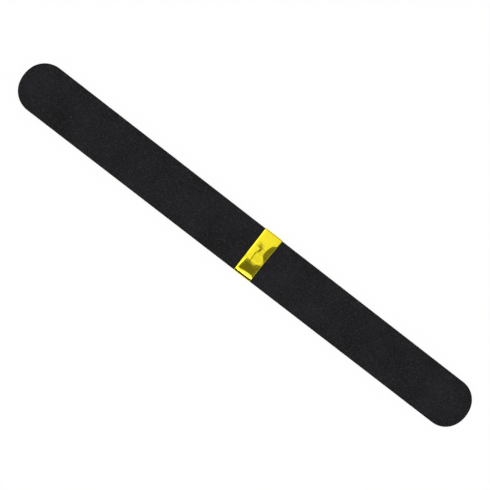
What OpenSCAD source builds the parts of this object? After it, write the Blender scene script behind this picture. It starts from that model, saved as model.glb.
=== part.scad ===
// Emery board with a gold film band. A wooden core has abrasive paper glued to both
// faces, and a strip of metallised film is wrapped once round the middle and lapped underneath.
// Millimetres. +X runs along the board, +Y across it and +Z up. The origin is under the
// middle of the board, level with the lowest face of the film, on which the board lies.

/* [Board] */
// Length from tip to tip
board_length = 178; // [90:1:220]
// Width across the long edges
board_width = 16.5; // [12:0.1:20]
// Radius of the blunt arc at each tip
tip_radius = 10.3; // [9:0.1:30]
// Distance from the centre line to the centres of the shoulder arcs
shoulder_offset = 0.75; // [0.3:0.05:4]
// Thickness of the wooden core
core_thickness = 1.2; // [0.6:0.1:4]

/* [Abrasive paper] */
// Glue line between the core and each paper
glue_thickness = 0.04; // [0.02:0.01:0.1]
// Backing paper
paper_thickness = 0.16; // [0.08:0.01:0.4]
// Resin coat that the grains are set in
bond_thickness = 0.03; // [0.02:0.01:0.1]
// Grains with their top coat, measured to the grain tips
grit_thickness = 0.14; // [0.12:0.01:0.4]
// Radius that the cutting die leaves along the edge of each face
edge_roll = 0.1; // [0.04:0.01:0.11]

/* [Film band] */
// Width of the film strip, along the board
band_width = 6.8; // [3:0.1:20]
// Distance from the middle of the board to the middle of the band
band_shift = 3.4; // [-20:0.1:20]
// Thickness of the metallised film
film_thickness = 0.05; // [0.03:0.01:0.15]
// Thickness of the adhesive on its inside
film_glue_thickness = 0.03; // [0.02:0.01:0.1]
// Length over which the film's tail covers its start
lap_length = 5; // [2:0.5:6]
// Length over which the tail steps down beside the film's start
lap_step = 0.8; // [0.4:0.1:2]
// Gap between the film's start and the foot of that step
lap_gap = 0.1; // [0.05:0.05:0.5]
// Distance from the board's centre line to the middle of the lap
lap_shift = 0.6; // [-1:0.1:1]
// Height by which the slack film lifts off the upper face beside one edge
lift_height = 0.2; // [0.02:0.01:0.3]
// Length of the lifted stretch, back from that edge
lift_length = 5.6; // [3:0.1:8]
// How far the crest of the lift leans towards the edge, where 1 is evenly
lift_lean = 1.8; // [1:0.1:2.5]

/* [Hidden] */

wood = "#d8bd8f";
wood_glue = "#cfc7b4";
black_paper = "#2f2d2b";
resin = "#1b1a19";
black_grit = "#242425";
film_adhesive = "#d9d5c2";
gold_film = "#efdf2d";

arc_fn = 96;
fold_steps = 8;
lift_steps = 24;
lap_steps = 12;

// The shoulder arcs stand proud by this much, so that they cross their neighbours cleanly.
arc_overlap = 0.004;
// Room by which a cutting shape passes what it cuts
cut_clear = 5;

half_length = board_length / 2;
half_width = board_width / 2;

// Each end is three arcs. The two shoulder arcs touch the long edges and, from inside, the
// tip arc. The tip arc runs between the two rays from its centre through their centres.
shoulder_radius = half_width - shoulder_offset;
tip_x = half_length - tip_radius;
shoulder_x = tip_x + sqrt(pow(tip_radius - shoulder_radius, 2) - pow(shoulder_offset, 2));

// One face's build of paper and grit, and one layer of film with its adhesive
face_build = glue_thickness + paper_thickness + bond_thickness + grit_thickness;
film_build = film_glue_thickness + film_thickness;

// The board lies on the doubled film of the lap.
board_bottom = 2 * film_build;
core_bottom = board_bottom + face_build;
core_top = core_bottom + core_thickness;
board_top = core_top + face_build;
core_middle = (core_bottom + core_top) / 2;

// Inner face of the film: its folds are concentric with the rolled edges of the board.
fold_radius = edge_roll + film_glue_thickness;
fold_y = half_width - edge_roll;
fold_low = board_bottom + edge_roll;
fold_high = board_top - edge_roll;
film_under = board_bottom - film_glue_thickness;
film_over = board_top + film_glue_thickness;
film_start = lap_shift - lap_length / 2;

// Plan of the board: a strip between the long edges, closed by the arcs of both ends
module board_plan() {
    intersection() {
        square([board_length + cut_clear, board_width], center = true);
        union() {
            square([2 * shoulder_x, board_width + cut_clear], center = true);
            for (end = [0, 1])
                mirror([end, 0])
                    end_plan();
        }
    }
}

module end_plan() {
    for (side = [-1, 1])
        translate([shoulder_x, side * shoulder_offset])
            circle(shoulder_radius + arc_overlap, $fn = arc_fn);
    intersection() {
        translate([tip_x, 0])
            circle(tip_radius, $fn = arc_fn);
        tip_wedge();
    }
}

// Wedge from the centre of the tip arc through the centres of both shoulder arcs, past the tip
module tip_wedge() {
    reach = 2 * tip_radius / (shoulder_x - tip_x);
    far = [shoulder_x - tip_x, shoulder_offset] * reach;
    translate([tip_x, 0])
        polygon([[0, 0], [far[0], -far[1]], far]);
}

// A flat layer of the board, on z = 0
module flat_layer(thickness) {
    linear_extrude(thickness)
        board_plan();
}

// The same plan with the upper edge rolled all the way round, by revolving and
// extruding one rim section
module rolled_layer(thickness, roll) {
    intersection() {
        rotate([90, 0, 90])
            linear_extrude(board_length + cut_clear, center = true)
                for (side = [0, 1])
                    mirror([side, 0])
                        rim_section(half_width, thickness, roll);
        union() {
            linear_extrude(thickness)
                square([2 * shoulder_x, board_width + cut_clear], center = true);
            for (end = [0, 1])
                mirror([end, 0, 0])
                    rolled_end(thickness, roll);
        }
    }
}

module rolled_end(thickness, roll) {
    for (side = [-1, 1])
        translate([shoulder_x, side * shoulder_offset, 0])
            rolled_disc(shoulder_radius + arc_overlap, thickness, roll);
    intersection() {
        translate([tip_x, 0, 0])
            rolled_disc(tip_radius, thickness, roll);
        translate([0, 0, -cut_clear])
            linear_extrude(thickness + 2 * cut_clear)
                tip_wedge();
    }
}

module rolled_disc(radius, thickness, roll) {
    rotate_extrude($fn = arc_fn)
        rim_section(radius, thickness, roll);
}

// Section of a layer from its middle out to its rim, with the upper corner rolled
module rim_section(reach, thickness, roll) {
    square([reach, thickness - roll]);
    square([reach - roll, thickness]);
    translate([reach - roll, thickness - roll])
        intersection() {
            circle(roll, $fn = arc_fn);
            square(roll);
        }
}

// The layers of one face, each on the one before, upwards from the core
module face_glue() {
    color(wood_glue)
        translate([0, 0, core_top])
            flat_layer(glue_thickness);
}

module face_paper() {
    color(black_paper)
        translate([0, 0, core_top + glue_thickness])
            flat_layer(paper_thickness);
}

module face_bond_coat() {
    color(resin)
        translate([0, 0, board_top - grit_thickness - bond_thickness])
            flat_layer(bond_thickness);
}

module face_grit() {
    color(black_grit)
        translate([0, 0, board_top - grit_thickness])
            rolled_layer(grit_thickness, edge_roll);
}

// The lower face is the upper one turned over about the core.
module turned_over() {
    translate([0, 0, 2 * core_middle])
        mirror([0, 0, 1])
            children();
}

module core() {
    color(wood)
        translate([0, 0, core_bottom])
            flat_layer(core_thickness);
}

// The film's inner face as points [y, z, heading], once round the board and over the lap.
// The outside of the film lies to the right of the heading.
wrap = concat(
    [[film_start, film_under, 0]],
    fold(fold_y, fold_low, 0),
    fold(fold_y, fold_high, 90),
    lift(),
    fold(-fold_y, fold_high, 180),
    fold(-fold_y, fold_low, 270),
    step_down(),
    [[film_start + lap_length, film_under - film_build, 360]]
);

// Quarter turn round an edge of the board
function fold(y, z, from) = [
    for (i = [0:fold_steps])
        let (heading = from + 90 * i / fold_steps)
            [y + fold_radius * sin(heading), z - fold_radius * cos(heading), heading]
];

// Slack beside the far edge: one wave of a raised cosine, with its crest pushed outwards
function lift() = [
    for (i = [0:lift_steps - 1])
        let (
            s = i / lift_steps,
            phase = 360 * pow(s, lift_lean),
            rise = lift_height * (1 - cos(phase)) / 2,
            slope = lift_height * PI * lift_lean * pow(s, lift_lean - 1) * sin(phase) / lift_length
        )
            [lift_length * (1 - s) - fold_y, film_over + rise, 180 - atan(slope)]
];

// Step of the tail from the board down to the outside of the film's start: half a cosine
function step_down() = [
    for (i = [0:lap_steps])
        let (
            s = i / lap_steps,
            drop = film_build * (1 - cos(180 * s)) / 2,
            slope = film_build * PI / 2 * sin(180 * s) / lap_step
        )
            [film_start - lap_gap - lap_step * (1 - s), film_under - drop, 360 - atan(slope)]
];

function beside(point, away) = [
    point[0] + away * sin(point[2]),
    point[1] - away * cos(point[2])
];

// A skin that follows the wrap, between two distances outwards from the film's inner face
module wrapped_strip(from, to) {
    translate([band_shift, 0, 0])
        rotate([90, 0, 90])
            linear_extrude(band_width, center = true)
                polygon(concat(
                    [for (point = wrap) beside(point, to)],
                    [for (i = [len(wrap) - 1:-1:0]) beside(wrap[i], from)]
                ));
}

module band_glue() {
    color(film_adhesive)
        wrapped_strip(-film_glue_thickness, 0);
}

module foil_band() {
    color(gold_film)
        wrapped_strip(0, film_thickness);
}

core();
face_glue();  // upper_glue
face_paper();  // upper_paper
face_bond_coat();  // upper_bond_coat
face_grit();  // upper_grit
turned_over() face_glue();  // lower_glue
turned_over() face_paper();  // lower_paper
turned_over() face_bond_coat();  // lower_bond_coat
turned_over() face_grit();  // lower_grit
band_glue();
foil_band();
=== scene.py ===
import math

import bpy
import numpy as np
from bpy.props import FloatProperty, FloatVectorProperty, IntProperty, PointerProperty
from mathutils import Matrix, Vector


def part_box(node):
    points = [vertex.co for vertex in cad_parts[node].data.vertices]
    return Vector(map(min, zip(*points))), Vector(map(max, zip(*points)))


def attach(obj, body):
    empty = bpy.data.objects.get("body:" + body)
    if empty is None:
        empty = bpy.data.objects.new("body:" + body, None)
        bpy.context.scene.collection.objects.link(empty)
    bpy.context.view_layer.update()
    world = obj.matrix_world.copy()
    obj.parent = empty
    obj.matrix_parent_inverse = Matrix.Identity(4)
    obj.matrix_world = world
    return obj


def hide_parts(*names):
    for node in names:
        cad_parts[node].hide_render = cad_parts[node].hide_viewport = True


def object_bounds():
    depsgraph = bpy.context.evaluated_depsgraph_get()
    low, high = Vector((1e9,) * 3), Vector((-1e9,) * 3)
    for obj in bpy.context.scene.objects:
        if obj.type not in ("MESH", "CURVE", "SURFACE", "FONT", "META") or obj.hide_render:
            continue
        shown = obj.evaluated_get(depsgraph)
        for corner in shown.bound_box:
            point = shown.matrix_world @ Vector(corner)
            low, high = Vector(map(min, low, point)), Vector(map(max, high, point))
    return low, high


bl_info = {
    "name": "Emery Board",
    "version": (1, 0, 0),
    "blender": (4, 5, 0),
    "location": "3D View > Sidebar > Emery Board",
    "description": "Dresses a wooden emery board with its grain, paper edges and gold film band",
    "category": "Add Mesh",
}

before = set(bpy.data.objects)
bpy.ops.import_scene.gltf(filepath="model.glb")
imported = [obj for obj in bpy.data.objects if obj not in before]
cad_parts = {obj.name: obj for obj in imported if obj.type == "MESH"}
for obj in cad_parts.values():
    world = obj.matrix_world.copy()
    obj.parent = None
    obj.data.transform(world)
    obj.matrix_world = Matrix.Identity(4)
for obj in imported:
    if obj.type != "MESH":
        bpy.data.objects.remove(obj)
CAD_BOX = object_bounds()
MM = 0.001
BODY = "root"


def from_hex(code):
    """Linear red, green and blue of an sRGB hex colour."""
    srgb = np.array([int(code[i:i + 2], 16) for i in (1, 3, 5)]) / 255
    return tuple(np.where(srgb <= 0.04045, srgb / 12.92, ((srgb + 0.055) / 1.055) ** 2.4))


def length(name, description, millimetres):
    """A length property, given in millimetres and kept in metres."""
    return FloatProperty(
        name=name, description=description, default=millimetres * MM, unit="LENGTH", precision=5
    )


def colour(name, description, code):
    """A colour property, given as an sRGB hex code and kept linear."""
    return FloatVectorProperty(
        name=name, description=description, default=from_hex(code),
        subtype="COLOR", size=3, min=0, max=1,
    )


class OutlineSizes(bpy.types.PropertyGroup):
    """The plan of the board, as its cutting die makes it."""

    tip_radius: length("Tip radius", "Radius of the blunt arc at each tip", 10.3)
    shoulder_offset: length(
        "Shoulder offset", "Distance from the centre line to the centres of the shoulder arcs", 0.75
    )
    edge_roll: length("Edge roll", "Radius that the die leaves along the edge of each face", 0.1)


class GritSizes(bpy.types.PropertyGroup):
    """The black abrasive faces."""

    grain_spacing: length("Grain spacing", "Distance between neighbouring modelled grains", 0.25)
    grain_relief: length("Grain relief", "Height from the deepest hollow to the tallest grain", 0.035)
    # The speckle is painted light and shade: grain facets painted lit and hollows painted shaded, in
    # random places.
    speckle: length("Speckle", "Size of the speckle that the grains show from a step away", 0.5)
    # The paler grains are painted glints: single grains painted lighter as if they caught the light.
    painted_glint: length("Fleck", "Size of the paler grains that stand out", 0.4)
    mottle: length("Mottle", "Size of the thicker and thinner patches of the top coat", 9)
    colour: colour("Grain colour", "Black silicon carbide under its top coat", "#202022")
    # The pale and dark grain colours are painted light and shade on lit facets and shaded hollows, and
    # are also the top coat's own paler and darker patches.
    pale_coat_and_lit_facet_colour: colour("Pale grain colour", "Grains whose facets catch the light", "#262629")
    dark_coat_and_shaded_hollow_colour: colour("Dark grain colour", "Hollows between the grains", "#161617")
    # Painted glint: a colour that stands in for light off single grains.
    painted_glint_colour: colour("Fleck colour", "Single grains that glint", "#3b3b3f")
    seed: IntProperty(name="Seed", description="Random seed of the grains", default=11, min=0)


class CoreSizes(bpy.types.PropertyGroup):
    """The wooden core and what glues the papers to it."""

    fibre: length("Fibre", "Thickness of a wood fibre bundle, seen on the cut edge", 0.22)
    wood_colour: colour("Wood colour", "Raw basswood veneer", "#d9bf93")
    late_colour: colour("Late wood colour", "Denser, darker fibres", "#b8935f")
    glue_colour: colour("Glue colour", "Dried wood glue", "#cdc3a6")
    paper_colour: colour("Paper colour", "Backing paper, dyed through", "#2c2a28")
    resin_colour: colour("Resin colour", "Resin coat under the grains", "#1a1918")


class FilmSizes(bpy.types.PropertyGroup):
    """The gold film band that is wrapped round the board."""

    thickness: length("Thickness", "Thickness of the film", 0.05)
    glue_thickness: length("Glue thickness", "Thickness of the adhesive on its inside", 0.03)
    lap_length: length("Lap length", "Length over which the tail covers the film's start", 5)
    lap_step: length("Lap step", "Length over which the tail steps down", 0.8)
    lap_gap: length("Lap gap", "Gap between the film's start and the foot of that step", 0.1)
    lap_shift: length("Lap shift", "Distance from the centre line to the middle of the lap", 0.6)
    slack_height: length("Slack height", "Height of the slack beside the near edge", 0.215)
    puff_height: length("Puff height", "Height by which the middle stands off the face", 0.07)
    spacing: length("Mesh spacing", "Distance between mesh points on the film", 0.1)
    colour: colour("Film colour", "Lemon-gold lacquer over vapour-coated metal", "#fbea31")
    glue_colour: colour("Adhesive colour", "Clear acrylic adhesive", "#ddd8c6")


class StageSizes(bpy.types.PropertyGroup):
    """Floor, light and camera."""

    camera_distance: length("Camera distance", "From the camera to the upper face", 400)
    camera_lens: FloatProperty(
        name="Lens", description="Focal length in millimetres", default=92.66, min=10
    )
    camera_lean: FloatProperty(
        name="Lean", description="Angle of the view from straight down",
        default=math.radians(5.14), subtype="ANGLE",
    )
    camera_side: FloatProperty(
        name="Side", description="Direction towards which the camera leans",
        default=math.radians(171.29), subtype="ANGLE",
    )
    board_turn: FloatProperty(
        name="Board turn", description="Slope of the board across the picture",
        default=math.radians(37.734), subtype="ANGLE",
    )
    aim_x: length(
        "Aim along", "Point on the upper face that the picture is centred on, along the board", -1.773
    )
    aim_y: length("Aim across", "The same point, across the board", 0.07)
    floor_size: length("Floor size", "Side of the pale floor", 3000)
    world_level: FloatProperty(
        name="World level", description="Light from all round, as a share of full white",
        default=0.89, min=0, max=1,
    )


class EmeryBoard(bpy.types.PropertyGroup):
    """Everything that a user would change."""

    outline: PointerProperty(type=OutlineSizes)
    grit: PointerProperty(type=GritSizes)
    core: PointerProperty(type=CoreSizes)
    film: PointerProperty(type=FilmSizes)
    stage: PointerProperty(type=StageSizes)


def settings():
    """The sizes and colours of the open scene."""
    return bpy.context.scene.emery_board


def add_node(tree, kind, links=None, **values):
    """Adds a shader node. Keywords name its attributes or inputs, and links maps inputs to sockets."""
    node = tree.nodes.new(kind)
    for key, value in values.items():
        if hasattr(node, key):
            setattr(node, key, value)
        else:
            node.inputs[key.replace("_", " ")].default_value = value
    for key, socket in (links or {}).items():
        tree.links.new(socket, node.inputs[key])
    return node


def new_material(name):
    """An empty material and its shader, joined to the output."""
    material = bpy.data.materials.new(name)
    material.use_nodes = True
    tree = material.node_tree
    tree.nodes.clear()
    shader = add_node(tree, "ShaderNodeBsdfPrincipled")
    add_node(tree, "ShaderNodeOutputMaterial", {"Surface": shader.outputs["BSDF"]})
    return material, tree, shader


def opaque(rgb):
    """The colour with full alpha."""
    return (*rgb, 1.0)


def silicon_carbide_grain():
    """Coated abrasive: silicon carbide grains, electrostatically set in resin and top coated.
    The eye sees a soft black with a fine speckle, a few paler grains and hardly any gloss. The speckle
    is painted light and shade, facets lit and hollows shaded in random places, over the top coat's own
    patches, and the paler grains are painted glints. Real grains are near 0.1 mm, too fine for the
    picture, so the speckle and the paler grains are drawn 4 to 5 times coarser. Only the bump has
    nearly their real size."""
    grit = settings().grit
    real_grain, grain_height = 0.12 * MM, 0.03 * MM
    # Of the cells' random values, those above this become painted glints, grains painted paler, the top
    # ones fully.
    painted_glint_onset = 0.82
    # A painted glint fades out between these distances from its cell's point, as shares of the cell.
    painted_glint_core, painted_glint_rim = 0.15, 0.6
    material, tree, shader = new_material("silicon_carbide_grain")
    place = add_node(tree, "ShaderNodeTexCoord").outputs["Object"]
    speckle = add_node(
        tree, "ShaderNodeTexNoise", {"Vector": place}, Scale=1 / grit.speckle, Detail=2.0, Roughness=0.7
    )
    mottle = add_node(
        tree, "ShaderNodeTexNoise", {"Vector": place}, Scale=1 / grit.mottle, Detail=2.0, Roughness=0.5
    )
    mixed = add_node(
        tree, "ShaderNodeMix", {"A": speckle.outputs["Fac"], "B": mottle.outputs["Fac"]}, Factor=0.25
    )
    # The ramp's pale and dark ends paint light and shade, lit facets and shaded hollows, where the fine
    # speckle drives them, and the top coat's own patches where the mottle does.
    tones = add_node(tree, "ShaderNodeValToRGB", {"Fac": mixed.outputs["Result"]})
    ramp = tones.color_ramp
    ramp.elements[0].position = 0.4
    ramp.elements[0].color = opaque(grit.dark_coat_and_shaded_hollow_colour)
    ramp.elements[1].position = 0.64
    ramp.elements[1].color = opaque(grit.pale_coat_and_lit_facet_colour)
    middle = ramp.elements.new(0.5)
    middle.color = opaque(grit.colour)
    # The cells pick the painted glints: a few grains painted paler, as if they caught the light.
    cells = add_node(tree, "ShaderNodeTexVoronoi", {"Vector": place}, Scale=1 / grit.painted_glint)
    chance = add_node(tree, "ShaderNodeSeparateColor", {"Color": cells.outputs["Color"]})
    chosen = add_node(tree, "ShaderNodeMapRange", {"Value": chance.outputs["Red"]})
    chosen.inputs["From Min"].default_value = painted_glint_onset
    rounded = add_node(tree, "ShaderNodeMapRange", {"Value": cells.outputs["Distance"]})
    rounded.inputs["From Min"].default_value = painted_glint_rim
    rounded.inputs["From Max"].default_value = painted_glint_core
    painted_glint = add_node(
        tree, "ShaderNodeMath", {0: chosen.outputs["Result"], 1: rounded.outputs["Result"]},
        operation="MULTIPLY",
    )
    toned = add_node(
        tree, "ShaderNodeMix", {"Factor": painted_glint.outputs[0], "A": tones.outputs["Color"]},
        data_type="RGBA",
    )
    toned.inputs["B"].default_value = opaque(grit.painted_glint_colour)
    tree.links.new(toned.outputs["Result"], shader.inputs["Base Color"])
    grains = add_node(tree, "ShaderNodeTexVoronoi", {"Vector": place}, Scale=1 / real_grain)
    bump = add_node(
        tree, "ShaderNodeBump", {"Height": grains.outputs["Distance"]},
        Strength=0.35, Distance=grain_height,
    )
    tree.links.new(bump.outputs["Normal"], shader.inputs["Normal"])
    shader.inputs["Roughness"].default_value = 0.8
    shader.inputs["Specular IOR Level"].default_value = 0.06
    return material


def basswood_veneer():
    """Rotary-cut basswood veneer, raw where the die cuts it.
    The eye sees pale tan with long darker fibres on the sides and short end grain at the tips."""
    core = settings().core
    # The fibres are drawn out 20 times along the board and stand this far off the cut.
    fibre_scale, fibre_height = (0.05, 1.0, 1.0), 0.05 * MM
    material, tree, shader = new_material("basswood_veneer")
    place = add_node(tree, "ShaderNodeTexCoord")
    drawn_out = add_node(
        tree, "ShaderNodeMapping", {"Vector": place.outputs["Object"]}, Scale=fibre_scale
    )
    fibres = add_node(
        tree, "ShaderNodeTexNoise", {"Vector": drawn_out.outputs["Vector"]},
        Scale=1 / core.fibre, Detail=4.0, Roughness=0.6,
    )
    tones = add_node(tree, "ShaderNodeValToRGB", {"Fac": fibres.outputs["Fac"]})
    tones.color_ramp.elements[0].position = 0.3
    tones.color_ramp.elements[0].color = opaque(core.late_colour)
    tones.color_ramp.elements[1].position = 0.6
    tones.color_ramp.elements[1].color = opaque(core.wood_colour)
    tree.links.new(tones.outputs["Color"], shader.inputs["Base Color"])
    bump = add_node(
        tree, "ShaderNodeBump", {"Height": fibres.outputs["Fac"]}, Strength=0.5, Distance=fibre_height
    )
    tree.links.new(bump.outputs["Normal"], shader.inputs["Normal"])
    shader.inputs["Roughness"].default_value = 0.75
    shader.inputs["Specular IOR Level"].default_value = 0.3
    return material


def cut_edge(name, tone, spread, grain, roughness):
    """A thin layer that only shows as its cut edge: its own tone, varied by a fine noise of the
    grain's size. The spread is how far the tone goes to either side, as a share of itself."""
    cut_height = 0.02 * MM
    material, tree, shader = new_material(name)
    place = add_node(tree, "ShaderNodeTexCoord")
    flecks = add_node(
        tree, "ShaderNodeTexNoise", {"Vector": place.outputs["Object"]},
        Scale=1 / grain, Detail=3.0, Roughness=0.65,
    )
    tones = add_node(tree, "ShaderNodeValToRGB", {"Fac": flecks.outputs["Fac"]})
    tones.color_ramp.elements[0].position = 0.3
    tones.color_ramp.elements[0].color = opaque([c * (1 - spread) for c in tone])
    tones.color_ramp.elements[1].position = 0.7
    tones.color_ramp.elements[1].color = opaque([min(1.0, c * (1 + spread)) for c in tone])
    tree.links.new(tones.outputs["Color"], shader.inputs["Base Color"])
    bump = add_node(
        tree, "ShaderNodeBump", {"Height": flecks.outputs["Fac"]}, Strength=0.3, Distance=cut_height
    )
    tree.links.new(bump.outputs["Normal"], shader.inputs["Normal"])
    shader.inputs["Roughness"].default_value = roughness
    shader.inputs["Specular IOR Level"].default_value = 0.3
    return material


def gold_film():
    """Polyester film, vapour coated with aluminium and lacquered yellow.
    The eye sees a bright lemon-gold mirror, a little dulled by fine crinkles."""
    film = settings().film
    crinkle_size, crinkle_height = 0.8 * MM, 0.02 * MM
    material, tree, shader = new_material("gold_lacquered_film")
    place = add_node(tree, "ShaderNodeTexCoord")
    crinkle = add_node(
        tree, "ShaderNodeTexNoise", {"Vector": place.outputs["Object"]},
        Scale=1 / crinkle_size, Detail=1.0, Roughness=0.5,
    )
    bump = add_node(
        tree, "ShaderNodeBump", {"Height": crinkle.outputs["Fac"]},
        Strength=0.45, Distance=crinkle_height,
    )
    tree.links.new(bump.outputs["Normal"], shader.inputs["Normal"])
    shader.inputs["Base Color"].default_value = opaque(film.colour)
    shader.inputs["Metallic"].default_value = 1.0
    shader.inputs["Roughness"].default_value = 0.06
    return material


def dress(node, material):
    """Gives a carried-over CAD node its finish."""
    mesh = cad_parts[node].data
    mesh.materials.clear()
    mesh.materials.append(material)


def new_piece(name, points, quads, triangles, material, smooth=0):
    """A mesh from whole arrays of points, quads and triangles, the first quads smooth shaded."""
    mesh = bpy.data.meshes.new(name)
    corners = np.concatenate([quads.ravel(), triangles.ravel()]).astype(np.int32)
    starts = np.concatenate([
        np.arange(len(quads)) * 4, len(quads) * 4 + np.arange(len(triangles)) * 3
    ]).astype(np.int32)
    mesh.vertices.add(len(points))
    mesh.vertices.foreach_set("co", points.astype(np.float32).ravel())
    mesh.loops.add(len(corners))
    mesh.loops.foreach_set("vertex_index", corners)
    mesh.polygons.add(len(starts))
    mesh.polygons.foreach_set("loop_start", starts)
    mesh.polygons.foreach_set("use_smooth", np.arange(len(starts)) < smooth)
    mesh.update(calc_edges=True)
    if mesh.validate():
        raise RuntimeError(f"the mesh of {name} has faces that don't hold")
    mesh.materials.append(material)
    piece = bpy.data.objects.new(name, mesh)
    bpy.context.scene.collection.objects.link(piece)
    return piece


class Outline:
    """The plan of the board: a strip whose ends are a tip arc between two shoulder arcs.
    The shoulder arcs touch the long edges and, from inside, the tip arc."""

    def __init__(self):
        low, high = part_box("core")
        sizes = settings().outline
        self.half_length = high.x
        self.half_width = high.y
        self.tip_radius = sizes.tip_radius
        self.offset = sizes.shoulder_offset
        self.shoulder_radius = self.half_width - self.offset
        self.tip_x = self.half_length - self.tip_radius
        centres = self.tip_radius - self.shoulder_radius
        self.shoulder_x = self.tip_x + math.sqrt(centres**2 - self.offset**2)
        self.tip_angle = math.atan2(self.offset, self.shoulder_x - self.tip_x)

    def reach(self, y):
        """How far the plan reaches along X at y: the circle's height over its centre line."""
        y = np.abs(y)
        on_tip = y < self.tip_radius * math.sin(self.tip_angle)
        tip = self.tip_x + np.sqrt(np.maximum(self.tip_radius**2 - y**2, 0))
        rest = np.maximum(self.shoulder_radius**2 - (y - self.offset)**2, 0)
        return np.where(on_tip, tip, self.shoulder_x + np.sqrt(rest))

    def depth(self, x, y):
        """How far a point lies inside the edge: the strip's half width less its distance from the
        centre line, or an arc's radius less its distance from the arc's centre."""
        x, y = np.abs(x), np.abs(y)
        tip = self.tip_radius - np.hypot(x - self.tip_x, y)
        shoulder = self.shoulder_radius - np.hypot(x - self.shoulder_x, y - self.offset)
        in_tip = np.arctan2(y, x - self.tip_x) < self.tip_angle
        return np.where(x <= self.shoulder_x, self.half_width - y, np.where(in_tip, tip, shoulder))


def smoothed(values, passes):
    """Averages each point of a grid with its four neighbours, several times."""
    for _ in range(passes):
        padded = np.pad(values, 1, mode="edge")
        values = (
            padded[:-2, 1:-1] + padded[2:, 1:-1] + padded[1:-1, :-2] + padded[1:-1, 2:] + values
        ) / 5
    return values


def stretched(values):
    """The same values moved and scaled to run from 0 to 1."""
    return (values - values.min()) / (values.max() - values.min())


# How far inside both ends the grid's outer lines lie, in radii of the rolled edge, close
# enough together to round it
RIM_LINES = np.array([0.0, 0.08, 0.3, 0.65, 1.1])
# Shares of the hollows that vary from grain to grain and from clump to clump
GRAIN_SHARE, CLUMP_SHARE = 0.6, 0.4
# The outer part of the rolled edge that stays smooth, as a share of it
SMOOTH_RIM = 0.3


def grit_face(top, bottom, rng):
    """Points, quads and triangles of one abrasive layer that lies between two heights.

    The face is a grid. Lines of constant y are spaced as a sine, so they crowd at the long
    edges, and each runs over the plan's whole reach, so the grid's rim is the outline. The
    height is the top less the roll, a quarter circle over the depth inside the edge, less a
    random hollow between the grains. A wall drops from the rim, and strips close the bottom."""
    outline, grit, roll = Outline(), settings().grit, settings().outline.edge_roll
    across = 2 * round(math.pi * outline.half_width / grit.grain_spacing / 2)
    inner = round(2 * outline.half_length / grit.grain_spacing)
    y = outline.half_width * np.sin(np.linspace(-0.5, 0.5, across + 1) * math.pi)
    rim = roll * RIM_LINES / outline.half_length
    share = np.concatenate([rim - 1, np.linspace(-1, 1, inner + 1)[1:-1], 1 - rim[::-1]])
    along = len(share) - 1
    x = share[:, None] * outline.reach(y)[None, :]
    y = np.broadcast_to(y, x.shape)
    depth = np.maximum(outline.depth(x, y), 0)
    inside = np.minimum(depth, roll)
    drop = roll - np.sqrt(roll**2 - (roll - inside)**2)
    single = rng.random(x.shape)
    clumped = stretched(smoothed(rng.random(x.shape), 2))
    grains = GRAIN_SHARE * single + CLUMP_SHARE * clumped
    hollow = grit.grain_relief * grains * np.clip(depth / roll - SMOOTH_RIM, 0, 1)
    sign = 1 if top > bottom else -1
    face = np.stack([x, y, top - sign * (drop + hollow)], axis=-1).reshape(-1, 3)

    index = np.arange(x.size).reshape(x.shape)
    cells = np.stack([index[:-1, :-1], index[1:, :-1], index[1:, 1:], index[:-1, 1:]], axis=-1)
    quads = [cells.reshape(-1, 4)]
    loop = np.concatenate([index[:-1, 0], index[-1, :-1], index[:0:-1, -1], index[0, :0:-1]])
    wall = face[loop].copy()
    wall[:, 2] = bottom
    low = x.size + np.arange(len(loop))
    quads.append(np.stack([low, np.roll(low, -1), np.roll(loop, -1), loop], -1))
    near = low[:along + 1]
    far = low[along + across:2 * along + across + 1][::-1]
    quads.append(np.stack([near[:-1], far[:-1], far[1:], near[1:]], -1))
    right = low[along:along + across + 1]
    left = np.append(low[2 * along + across:], low[0])[::-1]
    half = across // 2
    k = np.arange(half - 1)
    quads.append(np.stack([right[k], right[across - k], right[across - k - 1], right[k + 1]], -1))
    quads.append(np.stack([left[k + 1], left[across - k - 1], left[across - k], left[k]], -1))
    triangles = np.array([
        [right[half - 1], right[half + 1], right[half]],
        [left[half], left[half + 1], left[half - 1]],
    ])
    quads = np.concatenate(quads)
    if sign < 0:
        quads, triangles = quads[:, ::-1], triangles[:, ::-1]
    return np.concatenate([face, wall]), quads, triangles


# Points along each fold round an edge of the board, and along the step of the tail
FOLD_POINTS = 9
STEP_POINTS = 13
# Points of the path closer than this are one, in metres
SAME_POINT = 1e-8


def straight(start, end, heading):
    """Evenly spaced points from start to end, in Y and Z, each with the heading."""
    start, end = np.array(start), np.array(end)
    count = math.ceil(np.hypot(*(end - start)) / settings().film.spacing) + 1
    share = np.linspace(0, 1, count)[:, None]
    return np.concatenate([start + (end - start) * share, 0 * share + heading], axis=1)


def quarter(y, z, radius, heading):
    """A quarter circle round (y, z), starting at the heading and turning left."""
    turn = heading + np.linspace(0, math.pi / 2, FOLD_POINTS)
    return np.stack([y + radius * np.sin(turn), z - radius * np.cos(turn), turn], axis=1)


def step_down(y, z, drop):
    """Half a cosine that ends at (y, z), after falling by the drop over the lap step."""
    share = np.linspace(0, 1, STEP_POINTS)
    run = settings().film.lap_step
    slope = drop * math.pi / 2 * np.sin(math.pi * share) / run
    fall = drop * (1 + np.cos(math.pi * share)) / 2
    return np.stack([y - run * (1 - share), z + fall, 2 * math.pi - np.arctan(slope)], axis=1)


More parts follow.
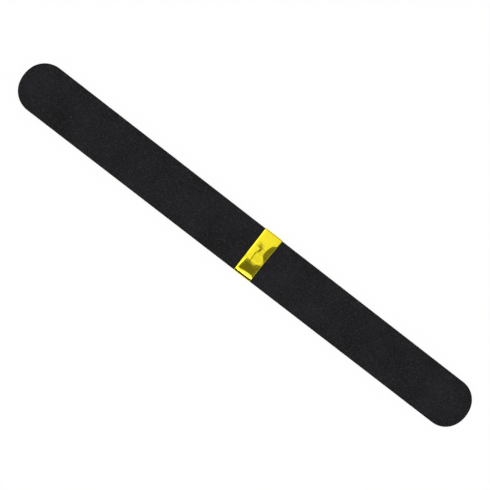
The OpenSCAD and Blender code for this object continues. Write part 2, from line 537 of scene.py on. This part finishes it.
def film_path():
    """The film's inner face once round the board and over its own start.

    Straight runs are joined by quarter circles about the board's rolled edges. Returns each
    point's Y, Z and heading, and its distance from the middle of the upper face as if the
    film were unrolled, positive towards +Y."""
    film, roll = settings().film, settings().outline.edge_roll
    low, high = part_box("lower_grit")[0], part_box("upper_grit")[1]
    edge, bottom, top = high.y - roll, low.z + roll, high.z - roll
    radius = roll + film.glue_thickness
    under, over = bottom - radius, top + radius
    build = film.thickness + film.glue_thickness
    start = film.lap_shift - film.lap_length / 2
    foot = start - film.lap_gap
    turn = math.pi / 2
    stretches = [
        straight((start, under), (edge, under), 0),
        quarter(edge, bottom, radius, 0),
        straight((edge + radius, bottom), (edge + radius, top), turn),
        quarter(edge, top, radius, turn),
        straight((edge, over), (-edge, over), 2 * turn),
        quarter(-edge, top, radius, 2 * turn),
        straight((-edge - radius, top), (-edge - radius, bottom), 3 * turn),
        quarter(-edge, bottom, radius, 3 * turn),
        straight((-edge, under), (foot - film.lap_step, under), 4 * turn),
        step_down(foot, under - build, build),
        straight((foot, under - build), (start + film.lap_length, under - build), 4 * turn),
    ]
    path = np.concatenate(stretches)
    gap = np.hypot(*np.diff(path[:, :2], axis=0).T)
    apart = gap > SAME_POINT
    path = path[np.append(True, apart)]
    travelled = np.append(0, np.cumsum(gap[apart]))
    middle = np.argmin(np.abs(path[:, 0]) + np.abs(path[:, 1] - over))
    return path, travelled[middle] + path[middle, 0] - travelled


def soft_step(share):
    """0 to 1 as the share goes from 0 to 1, with level ends."""
    share = np.clip(share, 0, 1)
    return share**2 * (3 - 2 * share)


def soft_ramp(value, width):
    """The value where it is positive and 0 elsewhere, rounded over the width."""
    return (value + np.sqrt(value**2 + width**2)) / 2


def soft_curve(places, table, width=0.18):
    """Straight lines between the table's points, rounded by a moving average that reaches the
    width to both sides."""
    samples = 9
    at, values = np.array(table).T
    steps = np.linspace(-width, width, samples)
    return sum(np.interp(places + step, at, values) for step in steps) / len(steps)


# The next four tables were typed. The points of the first three were then moved towards the
# borders of the film's patches, as a scratch script measured them in the photograph.
# Where the slack film starts to rise, and where it crests: millimetres along, across
ONSET = [
    (0.3, -3.4), (1.25, -2.38), (2.3, -2.15), (2.9, -3.05), (3.6, -3.7), (4.4, -3.6), (5.1, -2.45),
    (5.9, -1.2), (6.9, -0.2),
]
CREST = [
    (0.5, -6.76), (1.5, -6.74), (2.4, -6.6), (2.9, -6.4), (3.5, -6.33), (4.4, -6.26),
    (5.3, -6.32), (6, -6.4),
]
# Where the film bends down towards its +X edge: millimetres across, along
BEND = [
    (-3.0, 5.9), (-1.6, 5.92), (-0.4, 5.98), (0.36, 5.32), (0.8, 4.9), (1.5, 4.78), (2.4, 4.87),
    (3.3, 4.93), (4.2, 5.22), (4.85, 5.55), (5.2, 5.9), (5.6, 6.4), (6.2, 7.0), (7.0, 7.3),
]
# Pinched creases, as start, end, half width on their +X side and height in millimetres
CREASES = [
    ((3.1, 2.6), (2.8, 1.7), 0.4, 0.01),
    ((2.2, 2.7), (2.3, 0.8), 0.7, 0.03),
    ((2.05, 0.6), (2.2, -2.2), 0.35, 0.016),
]


def puff_relief(t):
    """The middle of the face: a soft step up, less a slow sink towards the far side, plus a
    parabola that lifts the film again before the far edge."""
    start, run = -2.6, 3
    sink, lift, lift_start = 0.006, 0.0022, 1.5
    puff = soft_step((t - start) / run) * settings().film.puff_height / MM
    return puff - sink * soft_ramp(t, 1) + lift * soft_ramp(t - lift_start, 1)**2


def bend_relief(x, t):
    """A rounded ramp that goes down past the bend line, towards +X."""
    slope, rounding = 0.05, 0.2
    return slope * soft_ramp(x - soft_curve(t, BEND), rounding)


def slack_relief(x, t, crest):
    """A ramp from the onset line up to the crest line, sagging in between.

    It is a little higher towards +X, and its onset is rounder near mid width, by a bell. The
    sag is the product of two ramps, each 0 at one end, and is nearly gone towards +X."""
    onset = soft_curve(x, ONSET)
    middle, bell_width = 3.8, 0.8
    least_softness, more_softness = 0.12, 0.2
    softness = least_softness + more_softness * np.exp(-((x - middle) / bell_width)**2)
    left_height, height_per_mm = 0.91, 0.031
    height = settings().film.slack_height / MM * (left_height + height_per_mm * x)
    left_sag, lost_sag, loss_start, loss_run = 0.22, 0.2, 4.3, 1.8
    sag = left_sag - lost_sag * soft_step((x - loss_start) / loss_run)
    sag_rounding, crest_rounding = 0.05, 0.03
    rise = (onset - t) / (onset - crest)
    rise = rise - sag * soft_ramp(rise, sag_rounding) * soft_ramp(1 - rise, sag_rounding)
    return height * (soft_ramp(rise, softness) - soft_ramp(rise - 1, crest_rounding))


def near_edge_relief(x, t, crest):
    """How far the film falls past the crest: a slope, a parabola and, past a line that a bell
    bows outwards in the middle, a steeper slope."""
    slope, curve, steep_slope = 0.034, 0.035, 0.085
    steep_start, middle, bell_width, bow = -7.4, 3.8, 1.5, 0.12
    rounding, steep_rounding = 0.1, 0.05
    steep = steep_start - bow * np.exp(-((x - middle) / bell_width)**2)
    past_crest = soft_ramp(crest - t, rounding)
    past_steep = soft_ramp(steep - t, steep_rounding)
    return slope * past_crest + curve * past_crest**2 + steep_slope * past_steep


def left_edge_relief(x):
    """The -X edge droops as an exponential, and all of the film sits lower by a constant."""
    droop, droop_width, sit = 0.1, 0.75, 0.06
    return droop * (1 - np.exp(-x / droop_width)) - sit


def crease_relief(x, t, start, end, width, height):
    """A bell across the line from start to end, wider on the right hand of that way, where -X
    lies. It fades as another bell past both ends."""
    widening, end_widening = 1.6, 1.8
    (x0, y0), span = start, np.subtract(end, start)
    run = np.hypot(*span)
    along, aside = span / run
    place = (x - x0) * along + (t - y0) * aside
    off = (t - y0) * along - (x - x0) * aside
    past = np.maximum(np.abs(place - run / 2) - run / 2 + width, 0)
    bell = np.exp(-(off / np.where(off > 0, width, widening * width))**2)
    return height * bell * np.exp(-(past / (end_widening * width))**2)


def film_relief(x, t):
    """How far the film stands off its path at x along the board and t across the unrolled film.

    The sum of the puff, the slack and the creases, less the bend and the fall to the near
    edge, all in millimetres. It fades out over both long edges of the board, and is never
    negative."""
    x, t = x / MM, t / MM
    crest = soft_curve(x, CREST)
    relief = puff_relief(t) - bend_relief(x, t)
    relief += slack_relief(x, t, crest)
    relief -= near_edge_relief(x, t, crest)
    relief += left_edge_relief(x)
    for crease in CREASES:
        relief += crease_relief(x, t, *crease)
    far_end, far_fade, near_end, near_fade = 9.2, 0.9, -8.32, 0.12
    reach = soft_step((far_end - t) / far_fade) * soft_step((t - near_end) / near_fade)
    rounding = 0.004
    return soft_ramp(relief * reach, rounding) * MM


# The strip's -X edge lies this far inside its solid. Its +X edge wanders by a sine with this
# height in millimetres and this start across the face, about a line so many millimetres inside.
LEFT_INSET = 0.18 * MM
WANDER, WANDER_START, RIGHT_INSET = 0.2, 1.3 * MM, 0.13


def band_skin(inside, outside):
    """Points, faces and walls of the skin between two distances outwards from the film's path.

    The path is carried across the band's width. The right edge wanders by a sine of one wave
    once round the board, as the strip is wrapped a little askew. Both faces stand off the path
    by the film's relief, and walls join their rims."""
    low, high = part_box("foil_band")
    once_round = 2 * (high.y - low.y + high.z - low.z)
    path, unrolled = film_path()
    count = round((high.x - low.x) / settings().film.spacing) + 1
    share, t = np.meshgrid(np.linspace(0, 1, count), unrolled)
    left = low.x + LEFT_INSET
    wander = WANDER * np.sin(2 * math.pi * (t - WANDER_START) / once_round)
    right = high.x + (wander - RIGHT_INSET) * MM
    x = left + (right - left) * share
    y, z, heading = (path[:, None, k] + 0 * x for k in range(3))
    stand = film_relief(x - low.x, t)
    skins = [
        np.stack([x, y + off * np.sin(heading), z - off * np.cos(heading)], axis=-1).reshape(-1, 3)
        for off in (stand + outside, stand + inside)
    ]
    outer = np.arange(x.size).reshape(x.shape)
    quads = np.stack([outer[:-1, :-1], outer[1:, :-1], outer[1:, 1:], outer[:-1, 1:]], axis=-1)
    quads = quads.reshape(-1, 4)
    rim = np.concatenate([outer[:-1, 0], outer[-1, :-1], outer[:0:-1, -1], outer[0, :0:-1]])
    walls = np.stack([rim + x.size, np.roll(rim, -1) + x.size, np.roll(rim, -1), rim], axis=-1)
    return np.concatenate(skins), np.concatenate([quads, quads[:, ::-1] + x.size]), walls


class EMERY_OT_core(bpy.types.Operator):
    """Finishes the wooden core and the glue, paper and resin layers on it"""

    bl_idname = "emery_board.core"
    bl_label = "Core and layers"

    def execute(self, context):
        core = settings().core
        dress("core", basswood_veneer())
        # Dried wood glue shows as a thin cream line, paper dyed through as a dull black edge
        # with fibres, and the cured resin coat as a smooth, darker line.
        glue = cut_edge("dried_wood_glue", core.glue_colour, 0.12, 0.4 * MM, 0.5)
        paper = cut_edge("dyed_backing_paper", core.paper_colour, 0.3, 0.15 * MM, 0.85)
        resin = cut_edge("phenolic_resin_coat", core.resin_colour, 0.2, 0.2 * MM, 0.5)
        for side in ("upper", "lower"):
            dress(f"{side}_glue", glue)
            dress(f"{side}_paper", paper)
            dress(f"{side}_bond_coat", resin)
        return {"FINISHED"}


class EMERY_OT_grit(bpy.types.Operator):
    """Builds the two abrasive faces, grain by grain"""

    bl_idname = "emery_board.grit"
    bl_label = "Abrasive faces"

    def execute(self, context):
        material = silicon_carbide_grain()
        for number, side in enumerate(("upper", "lower")):
            low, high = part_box(f"{side}_grit")
            top, bottom = (high.z, low.z) if side == "upper" else (low.z, high.z)
            rng = np.random.default_rng(settings().grit.seed + number)
            points, quads, triangles = grit_face(top, bottom, rng)
            piece = new_piece(f"{side}_abrasive_face", points, quads, triangles, material)
            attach(piece, BODY)
            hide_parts(f"{side}_grit")
        return {"FINISHED"}


class EMERY_OT_film(bpy.types.Operator):
    """Wraps the gold film band round the board and finishes its adhesive"""

    bl_idname = "emery_board.film"
    bl_label = "Film band"

    def execute(self, context):
        film = settings().film
        # Clear acrylic adhesive on a film edge shows as a pale, slightly glossy line.
        adhesive = cut_edge("clear_acrylic_adhesive", film.glue_colour, 0.08, 0.5 * MM, 0.3)
        pieces = [
            ("gold_film_band", 0, film.thickness, gold_film(), "foil_band", "gold_film"),
            ("film_adhesive", -film.glue_thickness, 0, adhesive, "band_glue", "film_adhesive"),
        ]
        for name, inside, outside, material, node, slot in pieces:
            points, faces, walls = band_skin(inside, outside)
            quads = np.concatenate([faces, walls])
            piece = new_piece(name, points, quads, np.empty((0, 3), int), material, len(faces))
            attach(piece, BODY)
            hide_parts(node)
        return {"FINISHED"}


def seen_white(tree):
    """1 for rays from the camera, from gloss and through glass, which see the plain white studio."""
    path = add_node(tree, "ShaderNodeLightPath")
    first = add_node(
        tree, "ShaderNodeMath", {0: path.outputs["Is Camera Ray"], 1: path.outputs["Is Glossy Ray"]},
        operation="MAXIMUM",
    )
    every = add_node(
        tree, "ShaderNodeMath", {0: first.outputs[0], 1: path.outputs["Is Transmission Ray"]},
        operation="MAXIMUM",
    )
    return every.outputs[0]


def add_floor():
    """A wide pale sheet, a hair below the board so that their faces don't coincide.
    Its own grey takes the board's shadow, and the larger share of it is plain white."""
    gap, paper_grey, white_share = 0.01 * MM, 0.97, 0.92
    half = settings().stage.floor_size / 2
    z = CAD_BOX[0].z - gap
    points = np.array([[-half, -half, z], [half, -half, z], [half, half, z], [-half, half, z]])
    material = bpy.data.materials.new("white_paper_floor")
    material.use_nodes = True
    tree = material.node_tree
    tree.nodes.clear()
    sheet = add_node(tree, "ShaderNodeBsdfDiffuse", Color=opaque([paper_grey] * 3))
    glow = add_node(tree, "ShaderNodeEmission", Color=(1, 1, 1, 1), Strength=1.0)
    share = add_node(tree, "ShaderNodeMath", {0: seen_white(tree)}, operation="MULTIPLY")
    share.inputs[1].default_value = white_share
    mix = add_node(
        tree, "ShaderNodeMixShader", {0: share.outputs[0], 1: sheet.outputs[0], 2: glow.outputs[0]}
    )
    add_node(tree, "ShaderNodeOutputMaterial", {"Surface": mix.outputs[0]})
    floor = new_piece("floor", points, np.array([[0, 1, 2, 3]]), np.empty((0, 3), int), material)


# Round dark parts of the studio that only gloss mirrors: direction, inner and outer angle from
# it in degrees, and depth of shade. Where two overlap, the deeper shade counts.
DARK_PARTS = [
    ((0.36, -0.03, 1.0), 10.6, 13.2, 0.8),
    ((0.10, 0.32, 1.0), 14.5, 18.3, 0.85),
    ((0.09, -0.11, 1.0), 0.0, 5.0, 0.2),
    ((0.04, -0.48, 1.0), 11.0, 13.0, 0.93),
    ((0.0, 0.0, -1.0), 90.0, 130.0, 0.6),
]


def add_world():
    """White all round for what is seen, with round dark parts for gloss, and an even light."""
    world = bpy.data.worlds.new("studio")
    bpy.context.scene.world = world
    world.use_nodes = True
    tree = world.node_tree
    tree.nodes.clear()
    direction = add_node(tree, "ShaderNodeTexCoord").outputs["Generated"]
    gloss = add_node(tree, "ShaderNodeLightPath").outputs["Is Glossy Ray"]
    shades = []
    for centre, inner, outer, depth in DARK_PARTS:
        towards = add_node(tree, "ShaderNodeVectorMath", {0: direction}, operation="DOT_PRODUCT")
        towards.inputs[1].default_value = Vector(centre).normalized()
        shade = add_node(tree, "ShaderNodeMapRange", {"Value": towards.outputs["Value"]})
        shade.inputs["From Min"].default_value = math.cos(math.radians(outer))
        shade.inputs["From Max"].default_value = math.cos(math.radians(inner))
        shade.inputs["To Max"].default_value = depth
        shades.append(shade.outputs["Result"])
    darkest = shades[0]
    for other in shades[1:]:
        both = add_node(tree, "ShaderNodeMath", {0: darkest, 1: other}, operation="MAXIMUM")
        darkest = both.outputs[0]
    share = add_node(tree, "ShaderNodeMath", {0: darkest, 1: gloss}, operation="MULTIPLY")
    level = add_node(tree, "ShaderNodeMapRange", {"Value": seen_white(tree)})
    level.inputs["To Min"].default_value = settings().stage.world_level
    strength = add_node(
        tree, "ShaderNodeMath", {0: level.outputs["Result"], 1: share.outputs[0]}, operation="SUBTRACT"
    ).outputs[0]
    back = add_node(tree, "ShaderNodeBackground", {"Strength": strength}, Color=(1, 1, 1, 1))
    add_node(tree, "ShaderNodeOutputWorld", {"Surface": back.outputs[0]})


# Level lamps half a metre over the table: name, place and size in metres, and how bright
# they look when mirrored, where 1 is white
LAMPS = [
    ("left_lamp", (-0.086, -0.03, 0.5), (0.128, 0.19), 1.0),
    ("near_lamp", (0.055, -0.089, 0.5), (0.17, 0.027), 0.4),
    ("far_lamp", (0.055, -0.1265, 0.5), (0.17, 0.048), 9),
]


def add_lamp(name, place, size, level):
    """A soft rectangular lamp over the board, level, as bright as the level says when mirrored."""
    lamp = bpy.data.lights.new(name, "AREA")
    lamp.shape = "RECTANGLE"
    lamp.size, lamp.size_y = size
    lamp.energy = level * math.pi * size[0] * size[1]
    lamp_object = bpy.data.objects.new(name, lamp)
    lamp_object.location = place
    lamp_object.visible_camera = False
    bpy.context.scene.collection.objects.link(lamp_object)


def add_camera():
    """A camera that looks down at the board, leaning a little and turned about its own axis."""
    stage = settings().stage
    lean, side, turn = stage.camera_lean, stage.camera_side, stage.board_turn
    back = Vector((
        math.sin(lean) * math.cos(side), math.sin(lean) * math.sin(side), math.cos(lean)
    ))
    level = (Vector((1, 0, 0)) - back * back.x).normalized()
    right = level * math.cos(turn) + back.cross(level) * math.sin(turn)
    up = back.cross(right)
    aim = Vector((stage.aim_x, stage.aim_y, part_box("upper_grit")[1].z))
    axes = Matrix((right, up, back)).transposed().to_4x4()
    camera = bpy.data.cameras.new("camera")
    camera.lens = stage.camera_lens
    camera.sensor_width = 36
    camera.clip_start = 10 * MM
    camera_object = bpy.data.objects.new("camera", camera)
    camera_object.matrix_world = Matrix.Translation(aim + back * stage.camera_distance) @ axes
    bpy.context.scene.collection.objects.link(camera_object)
    bpy.context.scene.camera = camera_object


class EMERY_OT_stage(bpy.types.Operator):
    """Sets up the floor, the soft lights and the camera"""

    bl_idname = "emery_board.stage"
    bl_label = "Stage"

    def execute(self, context):
        add_floor()
        add_world()
        for lamp in LAMPS:
            add_lamp(*lamp)
        add_camera()
        bpy.context.scene.view_settings.view_transform = "Standard"
        return {"FINISHED"}


class EMERY_PT_panel(bpy.types.Panel):
    """Lists the stage and each group of pieces"""

    bl_idname = "EMERY_PT_panel"
    bl_label = "Emery Board"
    bl_space_type = "VIEW_3D"
    bl_region_type = "UI"
    bl_category = "Emery Board"

    def draw(self, context):
        for operator in OPERATORS:
            self.layout.operator(operator.bl_idname)


OPERATORS = (EMERY_OT_stage, EMERY_OT_core, EMERY_OT_grit, EMERY_OT_film)
CLASSES = (
    OutlineSizes, GritSizes, CoreSizes, FilmSizes, StageSizes, EmeryBoard, *OPERATORS, EMERY_PT_panel
)


def register():
    """Makes the classes and the scene's own settings known to Blender."""
    for cls in CLASSES:
        bpy.utils.register_class(cls)
    bpy.types.Scene.emery_board = PointerProperty(type=EmeryBoard)


def unregister():
    """Takes them away again, in the reverse order."""
    del bpy.types.Scene.emery_board
    for cls in reversed(CLASSES):
        bpy.utils.unregister_class(cls)


def main():
    """Makes the stage and the pieces."""
    register()
    bpy.ops.emery_board.stage()
    bpy.ops.emery_board.core()
    bpy.ops.emery_board.grit()
    bpy.ops.emery_board.film()


if __name__ == "__main__":
    main()
